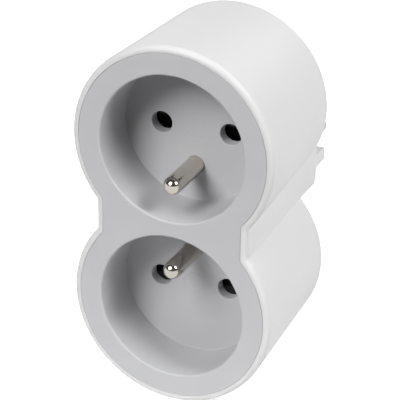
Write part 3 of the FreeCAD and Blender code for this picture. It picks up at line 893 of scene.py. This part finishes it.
@dataclass
class Studio:
    """The camera, the lamps, the white surroundings and the floor."""

    azimuth: float = 23.972
    elevation: float = 25.877
    roll: float = 0.618
    lens: float = 196.56
    view_reach: float = 10000.0
    place: Corner = (205.13, -503.39, 245.44)
    aim: Corner = (0.0, -35.0, 0.0)
    lamp_distance: float = 900.0
    floor_level: float = -49.2
    floor_front: float = -150.0
    floor_reach: float = 1500.0
    floor_colour: str = "F1F1F1"
    near_glow: float = 0.6
    glow_start: float = 100.0
    glow_full: float = 250.0
    fill: float = 0.01
    ceiling: float = 0.05
    ceiling_start: float = 0.1
    ceiling_full: float = 0.2
    lamps: tuple[Softbox, ...] = (
        Softbox("main_softbox", (-0.25, -0.74, 0.63), 480.0, 7.7),
        Softbox("side_softbox", (0.70, -0.17, 0.69), 250.0, 5.4),
        Softbox("right_rear_softbox", (0.40, 0.66, 0.64), 600.0, 2.7),
        Softbox("left_rear_softbox", (-0.40, 0.90, -0.17), 600.0, 2.4),
    )

    def axes(self) -> Matrix:
        """Works out how the camera is turned.

        Returns:
            Its own axes as columns: right, up and back.
        """
        a, e, r = (math.radians(angle) for angle in (self.azimuth, self.elevation, self.roll))
        right = Vector((math.cos(a), math.sin(a), 0))
        up = Vector((-math.sin(a) * math.sin(e), math.cos(a) * math.sin(e), math.cos(e)))
        back = Vector((math.sin(a) * math.cos(e), -math.cos(a) * math.cos(e), math.sin(e)))
        tilted = math.cos(r) * right + math.sin(r) * up, math.cos(r) * up - math.sin(r) * right
        return Matrix((*tilted, back)).transposed()

    def add_camera(self) -> None:
        """Puts the camera where the photograph was taken from."""
        camera = bpy.data.cameras.new("camera")
        camera.lens = self.lens
        camera.clip_end = self.view_reach * MM
        thing = bpy.data.objects.new("camera", camera)
        bpy.context.scene.collection.objects.link(thing)
        thing.matrix_world = Matrix.Translation(Vector(self.place) * MM) @ self.axes().to_4x4()
        bpy.context.scene.camera = thing

    def add_lamps(self) -> None:
        """Hangs two round softboxes in front, where the pins' shadows put them, and two behind."""
        for softbox in self.lamps:
            lamp = bpy.data.lights.new(softbox.name, "AREA")
            lamp.shape = "DISK"
            lamp.size = softbox.width * MM
            lamp.energy = softbox.power
            thing = bpy.data.objects.new(softbox.name, lamp)
            bpy.context.scene.collection.objects.link(thing)
            towards = Vector(softbox.direction).normalized()
            thing.location = (Vector(self.aim) + towards * self.lamp_distance) * MM
            thing.rotation_euler = towards.to_track_quat("Z", "Y").to_euler()

    @staticmethod
    def seen_in_gloss(tree: bpy.types.NodeTree) -> bpy.types.NodeSocket:
        """Tells the rays apart that a metal or a clear piece sends on.

        Args:
            tree: the tree of the world or a material.

        Returns:
            An output that is 1 for such rays and 0 for others.
        """
        path = add_node(tree, "ShaderNodeLightPath").outputs
        rays = {0: path["Is Glossy Ray"], 1: path["Is Transmission Ray"]}
        return add_node(tree, "ShaderNodeMath", rays, operation="MAXIMUM").outputs[0]

    def add_world(self) -> None:
        """Surrounds the part with a backdrop, white under a dark ceiling, that lights it only faintly."""
        world = bpy.data.worlds.new("surroundings")
        bpy.context.scene.world = world
        world.use_nodes = True
        tree = world.node_tree
        tree.nodes.clear()
        towards = add_node(tree, "ShaderNodeTexCoord").outputs["Generated"]
        height = add_node(tree, "ShaderNodeSeparateXYZ", {"Vector": towards}).outputs["Z"]
        rise = {"Value": height, "From Min": self.ceiling_start, "From Max": self.ceiling_full}
        backdrop = add_node(
            tree,
            "ShaderNodeMapRange",
            rise | {"To Min": 1.0, "To Max": self.ceiling},
            interpolation_type="SMOOTHSTEP",
        ).outputs["Result"]
        fill, white = (
            add_node(
                tree, "ShaderNodeBackground", {"Color": linear(PURE_WHITE), "Strength": strength}
            ).outputs[0]
            for strength in (self.fill, backdrop)
        )
        camera_ray = add_node(tree, "ShaderNodeLightPath").outputs["Is Camera Ray"]
        rays = {0: camera_ray, 1: self.seen_in_gloss(tree)}
        seen = add_node(tree, "ShaderNodeMath", rays, operation="MAXIMUM").outputs[0]
        mixed = add_node(tree, "ShaderNodeMixShader", {0: seen, 1: fill, 2: white}).outputs[0]
        add_node(tree, "ShaderNodeOutputWorld", {"Surface": mixed})

    def floor_material(self) -> bpy.types.Material:
        """Builds the floor's material, a matt sheet that lights the part as paper does.

        The camera sees a glow added to it, which is full away from the part. So the sheet goes over into the
        backdrop, and keeps a faint shadow beside the part. Metal shows it plain white.

        Returns:
            The material.
        """
        material, tree, place = new_material("pale_floor")
        matt = add_node(tree, "ShaderNodeBsdfDiffuse", {"Color": linear(self.floor_colour)}).outputs[0]
        away = add_node(tree, "ShaderNodeVectorMath", {0: place}, operation="LENGTH").outputs["Value"]
        spread = {"Value": away, "From Min": self.glow_start * MM, "From Max": self.glow_full * MM}
        near = add_node(
            tree, "ShaderNodeMapRange", spread | {"To Min": self.near_glow, "To Max": 1.0}
        ).outputs["Result"]
        glow, white = (
            add_node(
                tree, "ShaderNodeEmission", {"Color": linear(PURE_WHITE), "Strength": strength}
            ).outputs[0]
            for strength in (near, 1.0)
        )
        pale = add_node(tree, "ShaderNodeAddShader", {0: matt, 1: glow}).outputs[0]
        choice = {0: self.seen_in_gloss(tree), 1: matt, 2: white}
        other = add_node(tree, "ShaderNodeMixShader", choice).outputs[0]
        camera_ray = add_node(tree, "ShaderNodeLightPath").outputs["Is Camera Ray"]
        mixed = add_node(tree, "ShaderNodeMixShader", {0: camera_ray, 1: other, 2: pale}).outputs[0]
        add_node(tree, "ShaderNodeOutputMaterial", {"Surface": mixed})
        return material

    def add_floor(self) -> None:
        """Lays a pale sheet under the part, which ends a little way in front of the sockets."""
        form = Form()
        front, reach, level = self.floor_front, self.floor_reach, self.floor_level * MM
        outline = [(-reach, front), (reach, front), (reach, reach), (-reach, reach)]
        form.skin.faces.new([form.skin.verts.new((x * MM, y * MM, level)) for x, y in outline])
        floor = form.piece("floor")
        floor.data.materials.append(self.floor_material())

    def build(self) -> None:
        """Builds the whole studio."""
        bpy.context.scene.view_settings.view_transform = "Standard"
        self.add_camera()
        self.add_lamps()
        self.add_world()
        self.add_floor()


@dataclass
class Housing:
    """The white moulding: two lobes, the wings behind the waist and the plug's round end."""

    layout: Layout
    seat_inset: float = 1.74
    seat_edge: float = 0.12
    room_inset: float = 2.29
    wing_height: float = 10.8
    wing_round: float = 0.8
    wing_end_edge: float = 0.35
    wing_edge: float = 0.4
    wing_lead: float = 2.2
    plug_radius: float = 18.1
    plug_flat: float = 15.5
    plug_round: float = 0.4
    rib_height: float = 3.5
    screw_tube: float = 4.4
    screw_well: float = 3.3
    root_seat: float = 2.85
    root_edge: float = 0.12
    earth_hole: float = 2.8
    hole_round: float = 0.3
    hole_steps: int = 72
    shank_gap: float = 0.2
    rest_half: float = 2.5
    rest_low: float = 15.55
    rest_high: float = 18.25
    rest_front: float = -23.55

    def body(self) -> bpy.types.Object:
        """Makes the two lobes and the waist.

        Returns:
            One closed form.
        """
        at = self.layout
        path = rounded(
            [
                (INWARD, at.front, 0),
                (at.side_inset(at.front), at.front, at.rim_round),
                (at.side_inset(at.rear), at.rear, at.rear_round),
                (INWARD, at.rear, 0),
            ]
        )
        form = Form()
        form.enclose([form.ring(at.lobed(inset), level) for inset, level in path[1:-1]])
        return form.piece("lobed_housing")

    def wings(self, steps: int = 8) -> bpy.types.Object:
        """Makes the block that carries the waist's flats on behind the lobes.

        Args:
            steps: steps of its rounded end.

        Returns:
            One closed form.
        """
        at = self.layout
        joint = at.rear - at.rear_round
        waist = at.front_waist - at.side_inset(joint)
        half = self.wing_height / 2
        end_waist = waist - (at.wing_rear - joint) * at.slope
        rings = [(waist - OVERLAP, half, at.rear - self.wing_lead), (waist, half, joint)]
        for turn in quarter(steps):
            fall = 1 - math.cos(turn)
            level = at.wing_rear - self.wing_round * (1 - math.sin(turn))
            rings.append((end_waist - self.wing_round * fall, half - self.wing_end_edge * fall, level))
        form = Form()
        form.enclose([form.ring(self.rounded_box(across, up), level) for across, up, level in rings])
        return form.piece("wings")

    def rounded_box(self, across: float, up: float, steps: int = 5) -> list[Point]:
        """A rectangle about the origin with rounded corners.

        Args:
            across: its half width.
            up: its half height.
            steps: steps of each corner.

        Returns:
            The points round it.
        """
        edge = self.wing_edge
        points = []
        for corner, (x, z) in enumerate([(1, 1), (-1, 1), (-1, -1), (1, -1)]):
            turns = (math.pi / 2 * (corner + part / steps) for part in range(steps + 1))
            points += arc(x * (across - edge), z * (up - edge), edge, turns)
        return points

    def plug_outline(self, inset: float, flat: bool) -> list[Point]:
        """The plug's outline: round, or with two flats that leave a rib on each side.

        Args:
            inset: how far in from the widest outline.
            flat: whether the flats are cut.

        Returns:
            The points round it, as many either way.
        """
        radius, side, rib = self.plug_radius - inset, self.plug_flat - inset, self.rib_height / 2 - inset
        rib_turn, flat_turn = math.asin(rib / radius), math.acos(side / radius)
        steps, across, around = 6, 10, 45
        right = arc(0, 0, radius, (rib_turn * part / steps for part in range(steps + 1)))
        if flat:
            right.append((side, rib))
            top = radius * math.sin(flat_turn)
            right += [(side, rib + (top - rib) * part / across) for part in range(1, across)]
        else:
            turns = [rib_turn + (flat_turn - rib_turn) * part / across for part in range(across)]
            right += arc(0, 0, radius, turns)
        turns = [flat_turn + (math.pi / 2 - flat_turn) * part / around for part in range(around)]
        right += arc(0, 0, radius, turns)
        upper = right + [(0, radius)] + [(-x, z) for x, z in reversed(right)]
        return upper + [(x, -z) for x, z in reversed(upper[1:-1])]

    def plug(self) -> bpy.types.Object:
        """Makes the plug's round end, with its flats and ribs.

        Returns:
            One closed form.
        """
        at = self.layout
        path = rounded([(0, at.wing_rear, 0), (0, 0, self.plug_round), (INWARD, 0, 0)])
        rings = [(0, False, at.rear - self.wing_lead), (0, False, at.wing_rear)]
        rings += [(inset, True, level) for inset, level in path[:-1]]
        form = Form()
        form.enclose([form.ring(self.plug_outline(inset, flat), level) for inset, flat, level in rings])
        return form.piece("plug_end")

    def hollows(self) -> list[bpy.types.Object]:
        """Makes what is cut out: the room inside the lobes, open to the front, and the hollow of the plug.

        Returns:
            Two closed forms.
        """
        at = self.layout
        inside = at.rear - at.wall
        path = [(self.seat_inset - self.seat_edge, at.front - PAST)]
        path += eased(self.seat_inset, at.front, -self.seat_edge, steps=5)
        path += [(self.seat_inset, at.face_back), (self.room_inset, at.face_back)]
        path.append((at.wall + at.side_inset(inside), inside))
        room = Form()
        room.enclose([room.ring(at.lobed(inset), level) for inset, level in path])
        radius = self.plug_radius - at.wall
        return [room.piece("room"), rod("hollow", 0, 0, radius, inside - PAST, at.block_front)]

    def fittings(self) -> list[bpy.types.Object]:
        """Makes the tubes that the screws pass down, and the rests for the live strips.

        Returns:
            Two tubes and four rests.
        """
        at = self.layout
        inside = at.rear - at.wall / 2
        made = []
        for up in (1, -1):
            made.append(rod("screw_tube", 0, at.screw * up, self.screw_tube, at.post_end, inside))
            for side in (1, -1):
                across = (at.pin * side - self.rest_half, at.pin * side + self.rest_half)
                height = (self.rest_low * up, self.rest_high * up)
                made.append(bar("rest", across, (self.rest_front, inside), height))
        return made

    def bores(self) -> list[bpy.types.Object]:
        """Makes the wells for the screws, the seats for the plug's pins and its earth hole, as cuts.

        Returns:
            Two wells and three holes.
        """
        at = self.layout
        cuts = []
        shank = at.screw_radius + self.shank_gap
        flare = self.hole_round
        for up in (1, -1):
            path = [
                (0, at.post_end - PAST),
                (shank, at.post_end - PAST),
                (shank, at.well_bottom),
                (self.screw_well, at.well_bottom),
                (self.screw_well, at.rear - flare),
                (self.screw_well + flare, at.rear),
                (self.screw_well + flare, at.rear + PAST),
                (0, at.rear + PAST),
            ]
            cut = Form()
            cut.turned(0, at.screw * up, path)
            cuts.append(cut.piece("screw_well"))
        start = at.block_front - PAST
        for x, z, radius, edge in (
            (at.pin, 0, self.root_seat, self.root_edge),
            (-at.pin, 0, self.root_seat, self.root_edge),
            (0, at.earth_offset, self.earth_hole, flare),
        ):
            curve = [
                (radius + edge * (1 - math.cos(t)), -edge * (1 - math.sin(t))) for t in quarter(steps=4)
            ]
            path = [(0, start), (radius, start), *curve, (radius + edge, PAST), (0, PAST)]
            cut = Form()
            cut.turned(x, z, path, self.hole_steps)
            cuts.append(cut.piece("seat"))
        return cuts

    def build(self) -> None:
        """Builds the housing and hands it over."""
        whole = blended(self.body(), [self.wings(), self.plug()], Blend.JOIN)
        whole = blended(whole, self.hollows(), Blend.CUT)
        whole = blended(whole, self.fittings(), Blend.JOIN)
        whole = blended(whole, self.bores(), Blend.CUT)
        place(shaded(whole), Finish.WHITE, "adapter", "housing")


@dataclass
class SocketFace:
    """The grey moulding: the face, and two round wells with the holes in their floors."""

    layout: Layout
    face_inset: float = 1.79
    face_edge: float = 0.12
    well_radius: float = 19.7
    well_wall: float = 1.5
    well_steps: int = 160
    mouth_round: float = 0.5
    floor_round: float = 0.15
    hole_radius: float = 2.85
    hole_round: float = 0.3
    hole_steps: int = 64
    root_seat: float = 2.65
    lip: float = 0.3
    lip_radius: float = 2.43
    lip_edge: float = 0.04
    mark_radius: float = 2.75
    mark_width: float = 0.3
    mark_depth: float = 0.05
    rail_inner: float = 13.8
    rail_outer: float = 15.3
    rail_low: float = 16.95
    rail_high: float = 33.85
    stop_inner: float = 12.2
    stop_high: float = 18.35
    spring_stop: float = 34.35
    post_gap: float = 0.05
    pilot_radius: float = 1.5
    pilot_start: float = -37.7
    side_pilot_start: float = -44.0

    def well(self, form: Form, up: int) -> tuple[Ring, Ring]:
        """Builds one well with its floor and holes.

        Args:
            form: the form that it is a part of.
            up: 1 for the upper well, -1 for the lower.

        Returns:
            The ring round its mouth and the ring where its cup meets the back of the face.
        """
        at = self.layout
        lobe, radius, foot = at.lobe * up, self.well_radius, self.floor_round
        wall = eased(radius, at.front, self.mouth_round, steps=6)
        wall += [
            (radius - foot * (1 - math.cos(t)), at.well_floor - foot * (1 - math.sin(t)))
            for t in quarter(steps=6)
        ]
        inner = form.turned(0, lobe, wall, self.well_steps)
        cup = radius + self.well_wall
        outer = form.turned(0, lobe, [(cup, at.face_back), (cup, at.floor_back)], self.well_steps)
        hole = eased(self.hole_radius, at.well_floor, self.hole_round, steps=6)
        hole.append((self.hole_radius, at.floor_back))
        holes = [form.turned(at.pin * side, lobe, hole, self.hole_steps) for side in (1, -1)]
        lip = at.well_floor + self.lip
        root = [
            (self.lip_radius + self.lip_edge, at.well_floor),
            (self.lip_radius, at.well_floor + self.lip_edge),
            (self.lip_radius, lip),
            (self.root_seat, lip),
            (self.root_seat, at.floor_back),
        ]
        holes.append(form.turned(0, at.earth * up, root, self.hole_steps))
        half, deep = self.mark_width / 2, at.well_floor + self.mark_depth
        mark = [
            (self.mark_radius + half, at.well_floor),
            (self.mark_radius + half / 2, deep),
            (self.mark_radius - half / 2, deep),
            (self.mark_radius - half, at.well_floor),
        ]
        groove = form.turned(0, lobe, mark, self.hole_steps)
        form.fill(inner[-1], *(rings[0] for rings in holes), groove[0])
        form.fill(groove[-1])
        form.fill(outer[-1], *(rings[-1] for rings in holes))
        return inner[0], outer[0]

    def plate(self) -> bpy.types.Object:
        """Makes the face with both wells.

        Returns:
            One closed form.
        """
        at = self.layout
        path = eased(self.face_inset, at.front, self.face_edge, steps=4)
        path.append((self.face_inset, at.face_back))
        form = Form()
        rings = [form.ring(at.lobed(inset), level) for inset, level in path]
        form.chain(rings)
        mouths, cups = zip(*(self.well(form, up) for up in (1, -1)))
        form.fill(rings[0], *mouths)
        form.fill(rings[-1], *cups)
        return form.piece("welled_face")

    def supports(self) -> list[bpy.types.Object]:
        """Makes the posts for the screws, the springs' seats, and the rails and stops of the shutters.

        Returns:
            A closed form for each.
        """
        at = self.layout
        radius, start = at.post_radius, at.floor_back - OVERLAP
        deep = (start, at.carrier_front)
        made = []
        for up in (1, -1):
            middle = at.carrier_screw * up
            made.append(rod("post", 0, at.screw * up, radius, start, at.post_end - self.post_gap))
            made.append(rod("side_post", middle, 0, radius, at.face_back - OVERLAP, at.carrier_front))
            made.append(bar("spring_seat", (-radius, radius), deep, (self.spring_stop * up, at.screw * up)))
            for side in (1, -1):
                for name, inner, high in (
                    ("rail", self.rail_inner, self.rail_high),
                    ("stop", self.stop_inner, self.stop_high),
                ):
                    across = (inner * side, self.rail_outer * side)
                    made.append(bar(name, across, deep, (self.rail_low * up, high * up)))
        return made

    def pilots(self) -> list[bpy.types.Object]:
        """Makes the holes in the posts that the screws cut their threads in, as cuts.

        Returns:
            A closed form for each.
        """
        at, radius = self.layout, self.pilot_radius
        cuts = []
        for up in (1, -1):
            middle, end = at.carrier_screw * up, at.carrier_front + PAST
            cuts.append(rod("pilot", 0, at.screw * up, radius, self.pilot_start, at.post_end + PAST))
            cuts.append(rod("side_pilot", middle, 0, radius, self.side_pilot_start, end))
        return cuts

    def build(self) -> None:
        """Builds the face and hands it over."""
        whole = blended(self.plate(), self.supports(), Blend.JOIN)
        whole = blended(whole, self.pilots(), Blend.CUT)
        place(shaded(whole), Finish.GREY, "adapter", "socket_face")


@dataclass
class Pins:
    """The turned pins: two fixed earth pins in the wells, and the plug's two live pins."""

    layout: Layout
    repeat: bpy.types.NodeTree
    earth_length: float = 16.0
    earth_collar: float = 0.2
    plug_collar: float = 0.4
    root_step: float = 0.03
    lip: float = 0.35
    plug_length: float = 19.0
    plug_point: float = 2.35
    edge: float = 0.12
    fine_edge: float = 0.04
    around: int = 72

    def outline(
        self, tip: float, point: float, step: float, collar: float, seat: float, strip: float
    ) -> list[Point]:
        """A pin's outline, from its point to its peened tail.

        Args:
            tip: the level of its point.
            point: the rounding of its point.
            step: the level where it thickens into its moulding.
            collar: by how much it thickens.
            seat: the level of the moulding's back, where its flange lies.
            strip: the level of the strip's far side, where its tail is peened over.

        Returns:
            The outline's points, as radii and levels.
        """
        at, pin = self.layout, self.layout.pin_radius
        root = pin + collar
        way = math.copysign(1.0, strip - seat)
        back = seat + way * at.flange_thickness
        end = strip + way * at.peen_height
        return rounded(
            [
                (0, tip, 0),
                (pin, tip, point),
                (pin, step, 0),
                (root, step, self.fine_edge),
                (root, seat, 0),
                (at.flange_radius, seat, self.edge),
                (at.flange_radius, back, self.edge),
                (at.shank_radius, back, 0),
                (at.shank_radius, strip, 0),
                (at.peen_radius, strip, self.edge),
                (at.peen_radius, end, at.peen_height - self.edge),
                (0, end, 0),
            ]
        )

    def pair(self, name: str, x: float, z: float, path: Sequence[Point], *nodes: str) -> None:
        """Turns one pin, repeats it half a turn round and hands both over.

        Args:
            name: the object's name.
            x: where the first pin is, across.
            z: where it is, up.
            path: its outline.
            nodes: the nodes that the two stand for.
        """
        form = Form()
        form.turned(x, z, path, self.around)
        pins = run_tree(form.piece(name), self.repeat, {"Copies": 2, "Material": Finish.NICKEL.material()})
        place(shaded(pins), Finish.NICKEL, "adapter", *nodes)

    def build(self) -> None:
        """Builds both pairs."""
        at = self.layout
        earth = self.outline(
            at.well_floor - self.earth_length,
            at.pin_radius,
            at.well_floor + self.lip,
            self.earth_collar,
            at.floor_back,
            at.earth_strip_back,
        )
        self.pair("earth_pins", 0, at.earth, earth, "earth_pin_upper", "earth_pin_lower")
        plug = self.outline(
            self.plug_length,
            self.plug_point,
            -self.root_step,
            self.plug_collar,
            at.block_front,
            at.strip_front,
        )
        self.pair("plug_pins", at.pin, 0, plug, "plug_pin_left", "plug_pin_right")


@dataclass
class Screws:
    """The round-headed screws: two from behind into the socket face, and two that hold the carrier."""

    layout: Layout
    repeat: bpy.types.NodeTree
    head_radius: float = 2.8
    head_height: float = 1.8
    head_edge: float = 0.1
    slot_width: float = 0.7
    slot_reach: float = 1.75
    slot_depth: float = 1.0
    slot_taper: float = 0.75
    slot_rise: float = 0.5
    housing_length: float = 11.0
    carrier_length: float = 8.0
    carrier_back: float = -36.0
    around: int = 64

    def slot(self, x: float, z: float, top: float, upright: bool) -> bpy.types.Object:
        """Makes one of a head's two crossed slots, which narrows towards its bottom.

        Args:
            x: where the screw is, across.
            z: where it is, up.
            top: the level of the head's top.
            upright: whether the slot runs along Z, and not along X.

        Returns:
            One closed form.
        """
        form = Form()
        rings = []
        for level, size in ((top + self.slot_rise, 1.0), (top - self.slot_depth, self.slot_taper)):
            across, along = self.slot_width / 2 * size, self.slot_reach * size
            u, v = (across, along) if upright else (along, across)
            rings.append(form.ring([(x - u, z - v), (x + u, z - v), (x + u, z + v), (x - u, z + v)], level))
        form.enclose(rings)
        return form.piece("slot")

    def pair(self, name: str, place_at: Point, seat: float, length: float, node: str) -> None:
        """Turns one screw, cuts its slots, repeats it half a turn round and hands both over.

        Args:
            name: the object's name.
            place_at: where the first screw is, across and up.
            seat: the level that its head rests on.
            length: its length under the head.
            node: the node that the two stand for.
        """
        shank, top, tip = self.layout.screw_radius, seat + self.head_height, seat - length
        path = rounded(
            [
                (0, top, 0),
                (self.head_radius, top, self.head_height / 2),
                (self.head_radius, seat, self.head_edge),
                (shank, seat, 0),
                (shank, tip + shank, 0),
                (shank / 2, tip, 0),
                (0, tip, 0),
            ]
        )
        form = Form()
        form.turned(*place_at, path, self.around)
        slots = [self.slot(*place_at, top, upright) for upright in (True, False)]
        screw = blended(form.piece(name), slots, Blend.CUT)
        screws = run_tree(screw, self.repeat, {"Copies": 2, "Material": Finish.ZINC.material()})
        place(shaded(screws), Finish.ZINC, "adapter", node)

    def build(self) -> None:
        """Builds both pairs."""
        at = self.layout
        self.pair("long_screws", (0, at.screw), at.well_bottom, self.housing_length, "housing_screws")
        beside = (at.carrier_screw, 0)
        self.pair("short_screws", beside, self.carrier_back, self.carrier_length, "carrier_screws")


@dataclass
class Springs:
    """The coil springs that close the shutters."""

    layout: Layout
    coil: bpy.types.NodeTree
    radius: float = 1.5
    wire: float = 0.2
    turns: float = 6.0
    level: float = -40.0
    start: float = 4.3
    end: float = 12.2
    stop: float = 12.5
    travel: float = 6.0

    def build(self) -> None:
        """Winds both springs, each at one length; the real springs shorten as their shutters open."""
        length = self.end - self.start
        for name, up in (("upper", 1), ("lower", -1)):
            low = self.layout.lobe * up + (self.start if up > 0 else -self.end)
            thing = Form().piece(f"spring_{name}")
            values = {
                "Coil radius": self.radius * MM,
                "Wire radius": self.wire * MM,
                "Length": length * MM,
                "Turns": self.turns,
                "Place": (0, self.level * MM, low * MM),
                "Material": Finish.SPRING.material(),
            }
            run_tree(thing, self.coil, values)
            place(shaded(thing), Finish.SPRING, "adapter", f"shutter_spring_{name}")
            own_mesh(thing)


@dataclass
class Nodes:
    """The pieces whose solids are already right: they keep their shape and get their finish."""

    finishes: dict[Finish, tuple[str, ...]] = field(
        default_factory=lambda: {
            Finish.BLACK: ("contact_carrier", "shutter_upper", "shutter_lower"),
            Finish.BRASS: (
                "contact_upper_left",
                "contact_upper_right",
                "contact_lower_left",
                "contact_lower_right",
                "left_strip",
                "right_strip",
                "earth_strip",
                "plug_earth_contact",
                "contact_rivets",
                "earth_rivet",
            ),
        }
    )

    def build(self, nodes: dict[str, bpy.types.Object]) -> None:
        """Dresses every one of them.

        Args:
            nodes: the part's nodes by name.
        """
        for finish, names in self.finishes.items():
            for name in names:
                for slot in nodes[name].material_slots:
                    slot.material = finish.material()
                log.info("%s: node in %s", name, finish.value[0].name)


def main() -> None:
    """Builds the part's looks and the studio, and writes how large the result is."""
    logging.basicConfig(level=logging.INFO, format="%(name)s: %(message)s")
    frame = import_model()
    layout = Layout()
    Housing(layout).build()
    SocketFace(layout).build()
    repeat = repeated_tree()
    Pins(layout, repeat).build()
    Screws(layout, repeat).build()
    Springs(layout, coil_tree()).build()
    Nodes().build(frame["nodes"])
    Studio().build()


if __name__ == "__main__":
    main()
